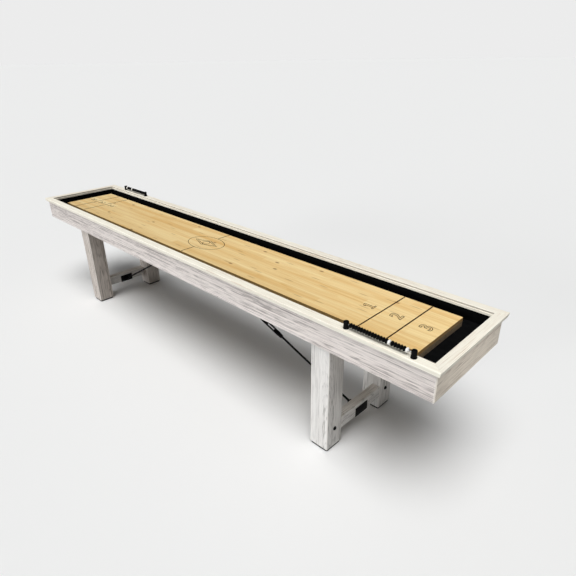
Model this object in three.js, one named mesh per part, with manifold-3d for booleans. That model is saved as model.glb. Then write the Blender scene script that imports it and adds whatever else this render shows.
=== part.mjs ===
// Twelve-foot shuffleboard table on two trestles, with turnbuckle braces and two bead scorers.
// Units are millimetres. +X runs along the table, +Z is up, and the front long side faces -Y.
// The origin is on the floor, under the middle of the table.
// Half a turn about Z takes each trestle onto the other. The scorers are also copies of each other,
// but the rear one sits nearer the middle of the table.

import * as THREE from "three";
import { mergeGeometries, mergeVertices } from "three/addons/utils/BufferGeometryUtils.js";
import Module from "manifold-3d";

const wasm = await Module();
wasm.setup();

// ---- driving dimensions ----

const LENGTH = 3658; // over the rail caps, twelve feet
const WIDTH = 635; // over the rail caps, twenty-five inches
const RAIL_TOP = 775; // floor to the top of the rail caps
const GAP = 0.3; // clearance left between pieces that touch

const CAP = { width: 50, thickness: 24, edge: 2, lean: 5, undercut: 4, ledge: 4, ledgeDrop: 12 };
const APRON = { overhang: 19, thickness: 28, height: 136, edge: 2, cornerChamfer: 6 };
const PLAYFIELD = { length: 3340, width: 394, drop: 35.5, top: 18, backing: 28, edge: 1.5 };
const LINING = { thickness: 3, floorWidth: 130 };
const DECK = { thickness: 15, edge: 1 };
const STIFFENER = { length: 900, width: 400, thickness: 20, edge: 5 };

const POST = { size: 114, endInset: 546, sideInset: 33.5, edge: 3, floorGap: 11 };
const STRETCHER = { thickness: 51, height: 70, bottom: 88, edge: 2, tenonLength: 80, tenonThickness: 25 };
const TENON_SHOULDER = 10; // how far the tenon is stepped in from the stretcher's top and bottom
const POST_BOLT = { shankRadius: 5, headRadius: 11, rimHeight: 3, headHeight: 7, length: 78 };
const LEVELER = { padSize: 108, padCorner: 8, stemRadius: 5, stemLength: 48 };

const BRACE_FOOT = new THREE.Vector3(1212, 0, 113); // pin of the lower clevis
const BRACE_HEAD = new THREE.Vector3(325, -145, 628); // pin of the upper clevis
const BRACE_ROD_RADIUS = 6;
const EYE = { radius: 13, thickness: 13, hole: 6.4 };
const PIN = { radius: 5.5, headRadius: 9, headHeight: 5 };
const EAR = { thickness: 4, radius: 14, clearance: 0.6 };
const SADDLE = { width: 102, height: 52, plate: 3.5 };
const HEAD_PLATE = { length: 90, width: 56, thickness: 4 };
const TURNBUCKLE = {
  from: 526,
  length: 176,
  width: 32,
  slotWidth: 14,
  wall: 11,
  bossRadius: 11,
  bossLength: 24,
};
const ROD_TIP_GAP = 50; // between the tips of the two rods, inside the turnbuckle

const SCORER = { span: 327, rodRadius: 2.5, rodLift: 22 };
const FRONT_SCORER_START = 1375; // from the table's middle to the scorer's inner post
const REAR_SCORER_START = 1233;
const SCORER_POST = { radius: 12.5, height: 36, flange: 1, flangeHeight: 2.5, shoulder: 4, wall: 3 };
const BEAD = { radius: 12, length: 13.6, waist: 6, taper: 3.4, bore: 2.9, slackAtStart: 5.5 };
const BEAD_RUNS = [
  { name: "long_black_beads", count: 14, colour: "black" },
  { name: "middle_white_bead", count: 1, colour: "white" },
  { name: "short_black_beads", count: 5, colour: "black" },
  { name: "end_white_bead", count: 1, colour: "white" },
];

// ---- heights and places worked out from the driving dimensions ----

const CAP_UNDERSIDE = RAIL_TOP - CAP.thickness;
const APRON_BOTTOM = CAP_UNDERSIDE - APRON.height;
const APRON_INNER_INSET = APRON.overhang + APRON.thickness;
const PLAY_SURFACE = RAIL_TOP - PLAYFIELD.drop;
const BACKING_TOP = PLAY_SURFACE - PLAYFIELD.top - GAP;
const LINING_TOP = BACKING_TOP - PLAYFIELD.backing - GAP;
const DECK_TOP = LINING_TOP - LINING.thickness - GAP;
const DECK_BOTTOM = DECK_TOP - DECK.thickness;
const POST_CENTRE_X = LENGTH / 2 - POST.endInset - POST.size / 2;
const POST_CENTRE_Y = WIDTH / 2 - POST.sideInset - POST.size / 2;
const POST_OUTER_X = POST_CENTRE_X + POST.size / 2;
const POST_INNER_Y = POST_CENTRE_Y - POST.size / 2;
const STRETCHER_CENTRE_X = POST_OUTER_X - STRETCHER.thickness / 2;
const STRETCHER_CENTRE_Z = STRETCHER.bottom + STRETCHER.height / 2;

// ---- how many flats a round shape has ----

const FLATS = { bolt: 16, pin: 12, rod: 12, scorerPost: 20, bead: 14 };

// ---- materials ----

function material(color, roughness, metalness = 0) {
  return new THREE.MeshStandardMaterial({ color, roughness, metalness });
}

const whitewash = material(0xd8d0cc, 0.7);
const capWood = material(0xeae2d6, 0.6);
const maple = material(0xe6c588, 0.35);
const backingBoard = material(0x6f5d45, 0.8);
const plywood = material(0xb89a6c, 0.8);
const carpet = material(0x111112, 0.98);
const blackSteel = material(0x151515, 0.45, 0.8);
const blackPlastic = material(0x0d0d0d, 0.3);
const whitePlastic = material(0xf1efe9, 0.3);
const brightSteel = material(0xb8babd, 0.3, 1);
const footPlastic = material(0x1a1a1a, 0.6);

// ---- solid helpers ----

// A closed geometry as a manifold solid: only its positions matter, and shared corners are merged.
function toSolid(geometry) {
  const bare = geometry.clone();
  bare.deleteAttribute("normal");
  bare.deleteAttribute("uv");
  const merged = mergeVertices(bare, 1e-3);
  return new wasm.Manifold(
    new wasm.Mesh({
      numProp: 3,
      vertProperties: new Float32Array(merged.attributes.position.array),
      triVerts: new Uint32Array(merged.index.array),
    }),
  );
}

function toGeometry(solid) {
  const mesh = solid.getMesh();
  const geometry = new THREE.BufferGeometry();
  geometry.setAttribute("position", new THREE.BufferAttribute(mesh.vertProperties, 3));
  geometry.setIndex(new THREE.BufferAttribute(mesh.triVerts, 1));
  const flat = geometry.toNonIndexed();
  flat.computeVertexNormals();
  return flat;
}

function join(...geometries) {
  return toGeometry(geometries.map(toSolid).reduce((sum, next) => sum.add(next)));
}

function cut(geometry, ...tools) {
  return toGeometry(tools.map(toSolid).reduce((rest, tool) => rest.subtract(tool), toSolid(geometry)));
}

function node(name, geometry, mat) {
  const mesh = new THREE.Mesh(geometry, mat);
  mesh.name = name;
  return mesh;
}

// A box given by its middle.
function block(x, y, z, sizeX, sizeY, sizeZ) {
  return new THREE.BoxGeometry(sizeX, sizeY, sizeZ).translate(x, y, z);
}

function chamferedRectangle(sizeX, sizeY, edge) {
  const x = sizeX / 2;
  const y = sizeY / 2;
  return new THREE.Shape([
    new THREE.Vector2(-x + edge, -y),
    new THREE.Vector2(x - edge, -y),
    new THREE.Vector2(x, -y + edge),
    new THREE.Vector2(x, y - edge),
    new THREE.Vector2(x - edge, y),
    new THREE.Vector2(-x + edge, y),
    new THREE.Vector2(-x, y - edge),
    new THREE.Vector2(-x, -y + edge),
  ]);
}

function extrude(shape, depth, curveSegments = 8) {
  return new THREE.ExtrudeGeometry(shape, { depth, bevelEnabled: false, curveSegments });
}

// A bar with its length on Y, its section's first side on X and its second on Z, centred on the origin.
function barAlongY(sizeX, length, sizeZ, edge) {
  return extrude(chamferedRectangle(sizeX, sizeZ, edge), length)
    .translate(0, 0, -length / 2)
    .rotateX(Math.PI / 2);
}

// A solid of revolution about Z from [radius, z] points that start and end on the axis.
function turned(points, segments) {
  const profile = points.map(([radius, z]) => new THREE.Vector2(radius, z));
  return new THREE.LatheGeometry(profile, segments).rotateX(Math.PI / 2);
}

// A round bar along Z from one height to another.
function roundBar(radius, from, to, segments) {
  return turned([[0, from], [radius, from], [radius, to], [0, to]], segments);
}

// ---- cabinet: four-sided frames of mitred lengths ----

const SIDES = [
  { name: "front", turn: 0, span: LENGTH, depth: WIDTH / 2 },
  { name: "right", turn: Math.PI / 2, span: WIDTH, depth: LENGTH / 2 },
  { name: "rear", turn: Math.PI, span: LENGTH, depth: WIDTH / 2 },
  { name: "left", turn: -Math.PI / 2, span: WIDTH, depth: LENGTH / 2 },
];

// One side of a mitred frame. The section is a list of [inset from the table's outer edge, z] points,
// and each point's run along the side is shortened by its own inset, which cuts the ends at 45 degrees.
function mitredSide(side, section) {
  const outline = new THREE.Shape(section.map(([inset, z]) => new THREE.Vector2(inset - side.depth, z)));
  const geometry = extrude(outline, 1);
  const position = geometry.attributes.position;
  for (let i = 0; i < position.count; i++) {
    const across = position.getX(i);
    const z = position.getY(i);
    const end = position.getZ(i) > 0.5 ? 1 : -1;
    const halfRun = side.span / 2 - (across + side.depth) - GAP / 2;
    position.setXYZ(i, end * halfRun, across, z);
  }
  geometry.computeVertexNormals();
  return geometry;
}

// The outer face leans in towards its lower edge, and so does the inner one, down to a narrow ledge.
const capSection = [
  [CAP.lean, CAP_UNDERSIDE],
  [CAP.width + CAP.ledge, CAP_UNDERSIDE],
  [CAP.width + CAP.ledge, RAIL_TOP - CAP.ledgeDrop],
  [CAP.width - CAP.undercut, RAIL_TOP - CAP.ledgeDrop],
  [CAP.width, RAIL_TOP - CAP.edge],
  [CAP.width - CAP.edge, RAIL_TOP],
  [CAP.edge, RAIL_TOP],
  [0, RAIL_TOP - CAP.edge],
];

const apronSection = [
  [APRON.overhang + APRON.edge, APRON_BOTTOM],
  [APRON_INNER_INSET - APRON.edge, APRON_BOTTOM],
  [APRON_INNER_INSET, APRON_BOTTOM + APRON.edge],
  [APRON_INNER_INSET, CAP_UNDERSIDE - GAP],
  [APRON.overhang, CAP_UNDERSIDE - GAP],
  [APRON.overhang, APRON_BOTTOM + APRON.edge],
];

const liningOuter = APRON_INNER_INSET + GAP;
const liningSection = [
  [liningOuter, DECK_TOP + GAP],
  [liningOuter + LINING.floorWidth, DECK_TOP + GAP],
  [liningOuter + LINING.floorWidth, LINING_TOP],
  [liningOuter + LINING.thickness, LINING_TOP],
  [liningOuter + LINING.thickness, CAP_UNDERSIDE - GAP],
  [liningOuter, CAP_UNDERSIDE - GAP],
];

// An apron with the upright edge at each of its outer corners taken off at 45 degrees.
function apronGeometry(side) {
  const diamond = APRON.cornerChamfer * Math.SQRT2;
  const corners = [-1, 1].map((end) => new THREE.BoxGeometry(diamond, diamond, 2 * RAIL_TOP)
    .rotateZ(Math.PI / 4)
    .translate(end * (side.span / 2 - APRON.overhang), APRON.overhang - side.depth, 0));
  return cut(mitredSide(side, apronSection), ...corners);
}

const cabinet = new THREE.Group();
for (const side of SIDES) {
  const lengths = [
    node(`${side.name}_rail_cap`, mitredSide(side, capSection), capWood),
    node(`${side.name}_apron`, apronGeometry(side), whitewash),
    node(`${side.name}_gutter_lining`, mitredSide(side, liningSection), carpet),
  ];
  for (const length of lengths) {
    length.rotation.z = side.turn;
    cabinet.add(length);
  }
}

function slabOf(size, top, thickness, edge) {
  const flat = new THREE.ExtrudeGeometry(chamferedRectangle(size.length, size.width, edge), {
    depth: thickness,
    bevelEnabled: false,
  });
  return flat.translate(0, 0, top - thickness);
}

const deckSize = {
  length: LENGTH - 2 * liningOuter,
  width: WIDTH - 2 * liningOuter,
};
cabinet.add(
  node("playfield_slab", slabOf(PLAYFIELD, PLAY_SURFACE, PLAYFIELD.top, PLAYFIELD.edge), maple),
  node("playfield_backing", slabOf(PLAYFIELD, BACKING_TOP, PLAYFIELD.backing, PLAYFIELD.edge), backingBoard),
  node("deck_panel", slabOf(deckSize, DECK_TOP, DECK.thickness, DECK.edge), plywood),
  node(
    "centre_stiffener",
    slabOf(STIFFENER, DECK_BOTTOM - GAP, STIFFENER.thickness, STIFFENER.edge),
    plywood,
  ),
);

// ---- trestle: two posts, a stretcher, a top beam, levelers and bolts ----

// Built for the right-hand end. end is 1 at the rear post and -1 at the front one.

// A hole along X for a post bolt, open at the post's outer face.
function boltHole(end) {
  return roundBar(POST_BOLT.shankRadius + GAP, -POST_BOLT.length - GAP, POST_BOLT.headHeight, FLATS.bolt)
    .rotateY(Math.PI / 2)
    .translate(POST_OUTER_X, end * POST_CENTRE_Y, STRETCHER_CENTRE_Z);
}

const tenonHeight = STRETCHER.height - 2 * TENON_SHOULDER;

function postGeometry(end) {
  const height = APRON_BOTTOM - GAP - POST.floorGap;
  const post = extrude(chamferedRectangle(POST.size, POST.size, POST.edge), height)
    .translate(POST_CENTRE_X, end * POST_CENTRE_Y, POST.floorGap);
  const mortise = block(
    STRETCHER_CENTRE_X,
    end * (POST_INNER_Y + STRETCHER.tenonLength / 2),
    STRETCHER_CENTRE_Z,
    STRETCHER.tenonThickness + 2 * GAP,
    STRETCHER.tenonLength + 2 * GAP,
    tenonHeight + 2 * GAP,
  );
  const { stemRadius, stemLength } = LEVELER;
  const stemHole = roundBar(stemRadius + GAP, -POST.floorGap, stemLength + 2 * GAP, FLATS.bolt)
    .translate(POST_CENTRE_X, end * POST_CENTRE_Y, POST.floorGap);
  return cut(post, mortise, boltHole(end), stemHole);
}

function stretcherGeometry() {
  const shoulderToShoulder = 2 * (POST_INNER_Y - GAP);
  const bar = barAlongY(STRETCHER.thickness, shoulderToShoulder, STRETCHER.height, STRETCHER.edge);
  const tipToTip = shoulderToShoulder + 2 * STRETCHER.tenonLength;
  const tenons = block(0, 0, 0, STRETCHER.tenonThickness, tipToTip, tenonHeight);
  const placed = join(bar, tenons).translate(STRETCHER_CENTRE_X, 0, STRETCHER_CENTRE_Z);
  return cut(placed, boltHole(-1), boltHole(1));
}

function topBeamGeometry() {
  const height = DECK_BOTTOM - GAP - APRON_BOTTOM;
  return barAlongY(POST.size, deckSize.width, height, STRETCHER.edge)
    .translate(POST_CENTRE_X, 0, APRON_BOTTOM + height / 2);
}

// A button head on the post's outer face and a plain shank going into the post.
function postBoltGeometry(end) {
  const { shankRadius, headRadius, rimHeight, headHeight, length } = POST_BOLT;
  const profile = [
    [0, -length],
    [shankRadius, -length],
    [shankRadius, GAP],
    [headRadius, GAP],
    [headRadius, GAP + rimHeight],
    [headRadius * 0.75, GAP + headHeight],
    [0, GAP + headHeight],
  ];
  return turned(profile, FLATS.bolt)
    .rotateY(Math.PI / 2)
    .translate(POST_OUTER_X, end * POST_CENTRE_Y, STRETCHER_CENTRE_Z);
}

// A square pad that carries the post, on a screw stem that goes up into it.
function levelerGeometry(end) {
  const padTop = POST.floorGap - GAP;
  const { padSize, padCorner, stemRadius, stemLength } = LEVELER;
  const pad = extrude(chamferedRectangle(padSize, padSize, padCorner), padTop);
  const stem = roundBar(stemRadius, padTop / 2, POST.floorGap + stemLength, FLATS.bolt);
  return join(pad, stem).translate(POST_CENTRE_X, end * POST_CENTRE_Y, 0);
}

// ---- brace: saddle, lower rod, turnbuckle, upper rod and head bracket ----

const braceRun = BRACE_HEAD.clone().sub(BRACE_FOOT);
const braceLength = braceRun.length();
const braceYaw = Math.atan2(braceRun.y, braceRun.x);
const bracePitch = Math.atan2(braceRun.z, Math.hypot(braceRun.x, braceRun.y));

// Turns a geometry made along +X so that it lies along the brace and starts at its foot pin.
function alongBrace(geometry) {
  return geometry.rotateY(-bracePitch).rotateZ(braceYaw).translate(...BRACE_FOOT.toArray());
}

// Turns a geometry made about a pin on Y so that the pin is square to the brace.
function acrossBrace(geometry, at) {
  return geometry.rotateZ(braceYaw).translate(...at.toArray());
}

// A rod along +X with an eye at the origin and the given end.
function eyedRod(length) {
  const eye = new THREE.Shape().absarc(0, 0, EYE.radius, 0, 2 * Math.PI, false);
  const ring = extrude(eye, EYE.thickness, 10)
    .translate(0, 0, -EYE.thickness / 2)
    .rotateX(Math.PI / 2);
  const rod = roundBar(BRACE_ROD_RADIUS, EYE.hole, length, FLATS.rod).rotateY(Math.PI / 2);
  const hole = roundBar(EYE.hole, -EYE.thickness, EYE.thickness, FLATS.bolt).rotateX(Math.PI / 2);
  return cut(join(ring, rod), hole);
}

const turnbuckleMiddle = TURNBUCKLE.from + TURNBUCKLE.length / 2;

function stadium(length, width) {
  const radius = width / 2;
  const straight = length / 2 - radius;
  const path = new THREE.Shape();
  path.absarc(straight, 0, radius, -Math.PI / 2, Math.PI / 2, false);
  path.absarc(-straight, 0, radius, Math.PI / 2, 1.5 * Math.PI, false);
  return path;
}

// The open body: an oblong ring with a threaded boss at each end, its slot facing up.
function turnbuckleGeometry() {
  const { length, width, slotWidth, wall, bossRadius, bossLength } = TURNBUCKLE;
  const ring = extrude(stadium(length, width), wall, 6).translate(0, 0, -wall / 2);
  const slot = extrude(stadium(length - 2 * bossLength, slotWidth), 3 * wall, 6).translate(0, 0, -1.5 * wall);
  const bosses = [-1, 1].map((end) => {
    const middle = end * (length - bossLength) / 2;
    return roundBar(bossRadius, middle - bossLength / 2, middle + bossLength / 2, FLATS.bolt)
      .rotateY(Math.PI / 2);
  });
  const bore = roundBar(BRACE_ROD_RADIUS + 2 * GAP, -length, length, FLATS.bolt).rotateY(Math.PI / 2);
  return cut(join(ring, ...bosses), slot, bore).translate(turnbuckleMiddle, 0, 0);
}

// A pair of ears either side of an eye. Each is round at the pin and runs back along the given angle.
function earPair(reach, angle) {
  const outline = new THREE.Shape();
  outline.absarc(0, 0, EAR.radius, -Math.PI / 2, Math.PI / 2, false);
  outline.lineTo(-reach, EAR.radius);
  outline.lineTo(-reach, -EAR.radius);
  outline.closePath();
  return [-1, 1].map((side) => {
    const middle = side * (EYE.thickness / 2 + EAR.clearance + EAR.thickness / 2);
    return extrude(outline, EAR.thickness, 8)
      .translate(0, 0, -EAR.thickness / 2)
      .rotateX(Math.PI / 2)
      .rotateY(angle)
      .translate(0, middle, 0);
  });
}

function pinHole(at) {
  const reach = EYE.thickness + EAR.thickness;
  return acrossBrace(roundBar(PIN.radius + GAP, -reach, reach, FLATS.bolt).rotateX(Math.PI / 2), at);
}

// A U of flat steel under the stretcher, with two ears on its inner side for the foot pin.
function saddleGeometry() {
  const inner = STRETCHER_CENTRE_X - STRETCHER.thickness / 2 - GAP;
  const outer = STRETCHER_CENTRE_X + STRETCHER.thickness / 2 + GAP;
  const bottom = STRETCHER.bottom - GAP;
  const top = bottom + SADDLE.height;
  const section = new THREE.Shape([
    new THREE.Vector2(inner - SADDLE.plate, bottom - SADDLE.plate),
    new THREE.Vector2(outer + SADDLE.plate, bottom - SADDLE.plate),
    new THREE.Vector2(outer + SADDLE.plate, top),
    new THREE.Vector2(outer, top),
    new THREE.Vector2(outer, bottom),
    new THREE.Vector2(inner, bottom),
    new THREE.Vector2(inner, top),
    new THREE.Vector2(inner - SADDLE.plate, top),
  ]);
  const channel = extrude(section, SADDLE.width).translate(0, 0, -SADDLE.width / 2).rotateX(Math.PI / 2);
  const ears = earPair(outer - BRACE_FOOT.x, 0).map((ear) => acrossBrace(ear, BRACE_FOOT));
  const room = block(
    STRETCHER_CENTRE_X,
    0,
    bottom + SADDLE.height,
    outer - inner,
    2 * SADDLE.width,
    2 * SADDLE.height,
  );
  return cut(join(channel, ...ears), room, pinHole(BRACE_FOOT));
}

// A flat plate under the stiffener, with two ears hanging from it for the head pin.
function headBracketGeometry() {
  const top = DECK_BOTTOM - 2 * GAP - STIFFENER.thickness;
  const middle = top - HEAD_PLATE.thickness / 2;
  const plate = block(0, 0, middle - BRACE_HEAD.z, HEAD_PLATE.length, HEAD_PLATE.width, HEAD_PLATE.thickness);
  const reach = middle - BRACE_HEAD.z;
  const parts = [plate, ...earPair(reach, Math.PI / 2)].map((part) => acrossBrace(part, BRACE_HEAD));
  return cut(join(...parts), pinHole(BRACE_HEAD));
}

// A bolt through the ears and the eye, with its head on one side and its nut on the other.
function pinGeometry(at) {
  const grip = EYE.thickness / 2 + EAR.clearance + EAR.thickness + GAP;
  const { radius, headRadius, headHeight } = PIN;
  const profile = [
    [0, -grip - headHeight],
    [headRadius, -grip - headHeight],
    [headRadius, -grip],
    [radius, -grip],
    [radius, grip],
    [headRadius, grip],
    [headRadius, grip + headHeight],
    [0, grip + headHeight],
  ];
  return acrossBrace(turned(profile, FLATS.pin).rotateX(Math.PI / 2), at);
}

function trestle(prefix, turn) {
  const group = new THREE.Group();
  group.rotation.z = turn;
  const facing = Math.cos(turn) > 0 ? 1 : -1;
  for (const end of [-1, 1]) {
    const place = `${prefix}_${end * facing > 0 ? "rear" : "front"}`;
    group.add(
      node(`${place}_post`, postGeometry(end), whitewash),
      node(`${place}_post_bolt`, postBoltGeometry(end), blackSteel),
      node(`${place}_leveler`, levelerGeometry(end), footPlastic),
    );
  }
  const lowerRod = alongBrace(eyedRod(turnbuckleMiddle - ROD_TIP_GAP / 2));
  const upperRodLength = braceLength - turnbuckleMiddle - ROD_TIP_GAP / 2;
  const upperRod = alongBrace(eyedRod(upperRodLength).rotateY(Math.PI).translate(braceLength, 0, 0));
  group.add(
    node(`${prefix}_stretcher`, stretcherGeometry(), whitewash),
    node(`${prefix}_top_beam`, topBeamGeometry(), whitewash),
    node(`${prefix}_brace_saddle`, saddleGeometry(), blackSteel),
    node(`${prefix}_brace_foot_bolt`, pinGeometry(BRACE_FOOT), blackSteel),
    node(`${prefix}_brace_lower_rod`, lowerRod, blackSteel),
    node(`${prefix}_turnbuckle`, alongBrace(turnbuckleGeometry()), blackSteel),
    node(`${prefix}_brace_upper_rod`, upperRod, blackSteel),
    node(`${prefix}_brace_head_bolt`, pinGeometry(BRACE_HEAD), blackSteel),
    node(`${prefix}_brace_head_bracket`, headBracketGeometry(), blackSteel),
  );
  return group;
}

// ---- scorer: two posts, a rod and beads in four runs ----

const scorerY = -WIDTH / 2 + CAP.width / 2;
const scorerRodZ = RAIL_TOP + SCORER.rodLift;

// The rod's hole stops inside the post, and faces the other post.
function scorerPostGeometry(x, facing) {
  const { radius, height, flange, flangeHeight, shoulder, wall } = SCORER_POST;
  const profile = [
    [0, GAP],
    [radius + flange, GAP],
    [radius + flange, flangeHeight],
    [radius, flangeHeight + flange],
    [radius, height - shoulder],
    [radius * 0.8, height - shoulder / 4],
    [radius * 0.4, height],
    [0, height],
  ];
  const post = turned(profile, FLATS.scorerPost).translate(x, scorerY, RAIL_TOP);
  const hole = roundBar(SCORER.rodRadius + GAP, wall - radius, 2 * radius, FLATS.rod)
    .rotateY(facing * Math.PI / 2)
    .translate(x, scorerY, scorerRodZ);
  return cut(post, hole);
}

// Barrel-shaped beads in one piece, waisted where one meets the next, with a bore for the rod.
function beadRunGeometry(start, count) {
  const { radius, length, waist, taper, bore } = BEAD;
  const rim = [new THREE.Vector2(bore, 0)];
  for (let i = 0; i < count; i++) {
    const from = i * length;
    rim.push(
      new THREE.Vector2(waist, from),
      new THREE.Vector2(radius, from + taper),
      new THREE.Vector2(radius, from + length - taper),
    );
  }
  const end = count * length - GAP;
  rim.push(new THREE.Vector2(waist, end), new THREE.Vector2(bore, end), new THREE.Vector2(bore, 0));
  return new THREE.LatheGeometry(rim, FLATS.bead)
    .rotateX(Math.PI / 2)
    .rotateY(Math.PI / 2)
    .translate(start, scorerY, scorerRodZ);
}

function scorer(prefix, turn, firstPost) {
  const group = new THREE.Group();
  group.rotation.z = turn;
  const lastPost = firstPost + SCORER.span;
  const { radius, wall } = SCORER_POST;
  const inPost = radius - wall - GAP; // how far the rod runs past the middle of each post
  const rod = roundBar(SCORER.rodRadius, firstPost - inPost, lastPost + inPost, FLATS.rod)
    .rotateY(Math.PI / 2)
    .translate(0, scorerY, scorerRodZ);
  group.add(
    node(`${prefix}_scorer_inner_post`, scorerPostGeometry(firstPost, 1), blackPlastic),
    node(`${prefix}_scorer_outer_post`, scorerPostGeometry(lastPost, -1), blackPlastic),
    node(`${prefix}_scorer_rod`, rod, brightSteel),
  );
  let start = firstPost + radius + BEAD.slackAtStart;
  for (const run of BEAD_RUNS) {
    const mat = run.colour === "white" ? whitePlastic : blackPlastic;
    group.add(node(`${prefix}_scorer_${run.name}`, beadRunGeometry(start, run.count), mat));
    start += run.count * BEAD.length;
  }
  return group;
}

// ---- the whole table ----

const table = new THREE.Group();
table.add(
  cabinet,
  trestle("right", 0),
  trestle("left", Math.PI),
  scorer("front", 0, FRONT_SCORER_START),
  scorer("rear", Math.PI, REAR_SCORER_START),
);

export default table;
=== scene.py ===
"""Looks of a twelve-foot shuffleboard table on two trestles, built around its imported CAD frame.

Everything is in metres and in the CAD frame: +X runs along the table, -Y is its front and +Z is up.
The wooden CAD nodes stay, with their edges eased and grained materials. The turned, forged and bent
pieces are replaced by finer meshes at the same places, and the playfield gets its painted marks.
"""

import math

import bmesh
import bpy
from mathutils import Matrix, Vector


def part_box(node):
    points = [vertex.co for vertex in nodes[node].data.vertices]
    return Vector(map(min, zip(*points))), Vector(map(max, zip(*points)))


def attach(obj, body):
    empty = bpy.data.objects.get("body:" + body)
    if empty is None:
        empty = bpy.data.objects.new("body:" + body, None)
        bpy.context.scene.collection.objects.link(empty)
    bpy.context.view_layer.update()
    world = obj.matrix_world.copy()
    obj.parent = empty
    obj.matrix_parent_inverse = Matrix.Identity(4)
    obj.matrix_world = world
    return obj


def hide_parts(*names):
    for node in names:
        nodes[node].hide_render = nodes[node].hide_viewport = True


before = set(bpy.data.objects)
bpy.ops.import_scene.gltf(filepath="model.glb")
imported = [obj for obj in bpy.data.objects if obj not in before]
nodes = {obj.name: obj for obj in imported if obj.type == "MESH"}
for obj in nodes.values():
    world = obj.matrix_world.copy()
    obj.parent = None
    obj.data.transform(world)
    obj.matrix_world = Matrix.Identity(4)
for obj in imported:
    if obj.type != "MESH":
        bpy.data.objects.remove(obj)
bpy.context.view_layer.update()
scene = bpy.context.scene

MM = 0.001
SIDES = ("front", "right", "rear", "left")
ENDS = ("right", "left")
CORNERS = [f"{end}_{side}" for end in ENDS for side in ("front", "rear")]


# ---- camera, light and floor ----

CAMERA_PLACE = (2.4312, -1.7161, 1.8161)
CAMERA_AZIMUTH = 44.57
CAMERA_DOWN = 25.49
CAMERA_ROLL = -0.82
CAMERA_LENS = 29.75
CAMERA_SENSOR = 36
CAMERA_REACH = 2000
CAMERA_SHIFT = (0.0006, -0.0039)

# A sun's spread and a spot's cone are in degrees.
KEY_LIGHT = {
    "strength": 2.84, "towards": (0.19, -0.28, 1), "spread": 42, "colour": (1, 0.998, 0.99)
}
FRONT_LIGHT = {
    "strength": 2.2, "towards": (-0.14, -1, 0.08), "spread": 30, "colour": (0.97, 0.985, 1)
}
END_LIGHT = {
    "power": 26,
    "cone": 23,
    "soft_edge": 0.8,
    "size": 0.15,
    "place": (3.4, -0.25, 1.6),
    "target": (1.8, 0, 0.7),
    "colour": (1, 0.96, 0.9),
}
BACKGROUND = 0.84
BACKGROUND_COLOUR = (1, 1, 1)
AMBIENT = 0.07
AMBIENT_COLOUR = (0.88, 0.96, 1)
FLOOR_COLOUR = (0.85, 0.85, 0.85)
FLOOR_BOUNCE = (0.46, 0.46, 0.46)
FLOOR_HALF_SIZE = 600


def add_object(name, data):
    obj = bpy.data.objects.new(name, data)
    scene.collection.objects.link(obj)
    return obj


def make_camera():
    camera = bpy.data.cameras.new("camera")
    camera.lens = CAMERA_LENS
    camera.sensor_width = CAMERA_SENSOR
    camera.shift_x, camera.shift_y = CAMERA_SHIFT
    camera.clip_end = CAMERA_REACH
    obj = add_object("camera", camera)
    azimuth, down, roll = (math.radians(a) for a in (CAMERA_AZIMUTH, CAMERA_DOWN, CAMERA_ROLL))
    level = math.cos(down)
    aim = Vector((-math.sin(azimuth) * level, math.cos(azimuth) * level, -math.sin(down)))
    turn = aim.to_track_quat("-Z", "Y").to_matrix() @ Matrix.Rotation(roll, 3, "Z")
    obj.matrix_world = Matrix.Translation(CAMERA_PLACE) @ turn.to_4x4()
    scene.camera = obj


def add_sun(name, strength, towards, spread, colour):
    """A soft sun, which stands in the given direction from the table."""
    light = bpy.data.lights.new(name, "SUN")
    light.energy = strength
    light.angle = math.radians(spread)
    light.color = colour
    obj = add_object(name, light)
    obj.rotation_mode = "QUATERNION"
    obj.rotation_quaternion = Vector(towards).to_track_quat("Z", "Y")


def add_spot(name, power, cone, soft_edge, size, place, target, colour):
    light = bpy.data.lights.new(name, "SPOT")
    light.energy = power
    light.spot_size = math.radians(cone)
    light.spot_blend = soft_edge
    light.shadow_soft_size = size
    light.color = colour
    obj = add_object(name, light)
    aim = Vector(target) - Vector(place)
    obj.matrix_world = Matrix.Translation(place) @ aim.to_track_quat("-Z", "Y").to_matrix().to_4x4()


def make_lights():
    """Two suns and a spot, in a world that the camera sees brighter than it shines."""
    add_sun("key_light", **KEY_LIGHT)
    add_sun("front_light", **FRONT_LIGHT)
    add_spot("end_light", **END_LIGHT)
    world = bpy.data.worlds.new("studio")
    scene.world = world
    world.use_nodes = True
    tree = world.node_tree
    seen, cast = tree.nodes["Background"], tree.nodes.new("ShaderNodeBackground")
    backgrounds = ((seen, BACKGROUND_COLOUR, BACKGROUND), (cast, AMBIENT_COLOUR, AMBIENT))
    for node, colour, strength in backgrounds:
        node.inputs["Color"].default_value = (*colour, 1)
        node.inputs["Strength"].default_value = strength
    path = tree.nodes.new("ShaderNodeLightPath")
    choose = tree.nodes.new("ShaderNodeMixShader")
    tree.links.new(path.outputs["Is Camera Ray"], choose.inputs[0])
    tree.links.new(cast.outputs[0], choose.inputs[1])
    tree.links.new(seen.outputs[0], choose.inputs[2])
    tree.links.new(choose.outputs[0], tree.nodes["World Output"].inputs["Surface"])


def make_floor():
    square = ((-1, -1), (1, -1), (1, 1), (-1, 1))
    corners = [(x * FLOOR_HALF_SIZE, y * FLOOR_HALF_SIZE, 0) for x, y in square]
    mesh = new_mesh("floor", (corners, [(0, 1, 2, 3)]))
    look = Look("floor_paint", roughness=1, specular=0)
    # The floor sends less light back up than it shows, so that the table's shaded sides stay dark.
    path = look.add("ShaderNodeLightPath")
    look.colour(look.mix(path.outputs["Is Diffuse Ray"], FLOOR_COLOUR, FLOOR_BOUNCE))
    mesh.materials.append(look.material)
    add_object("floor", mesh)


# ---- materials ----

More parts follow.
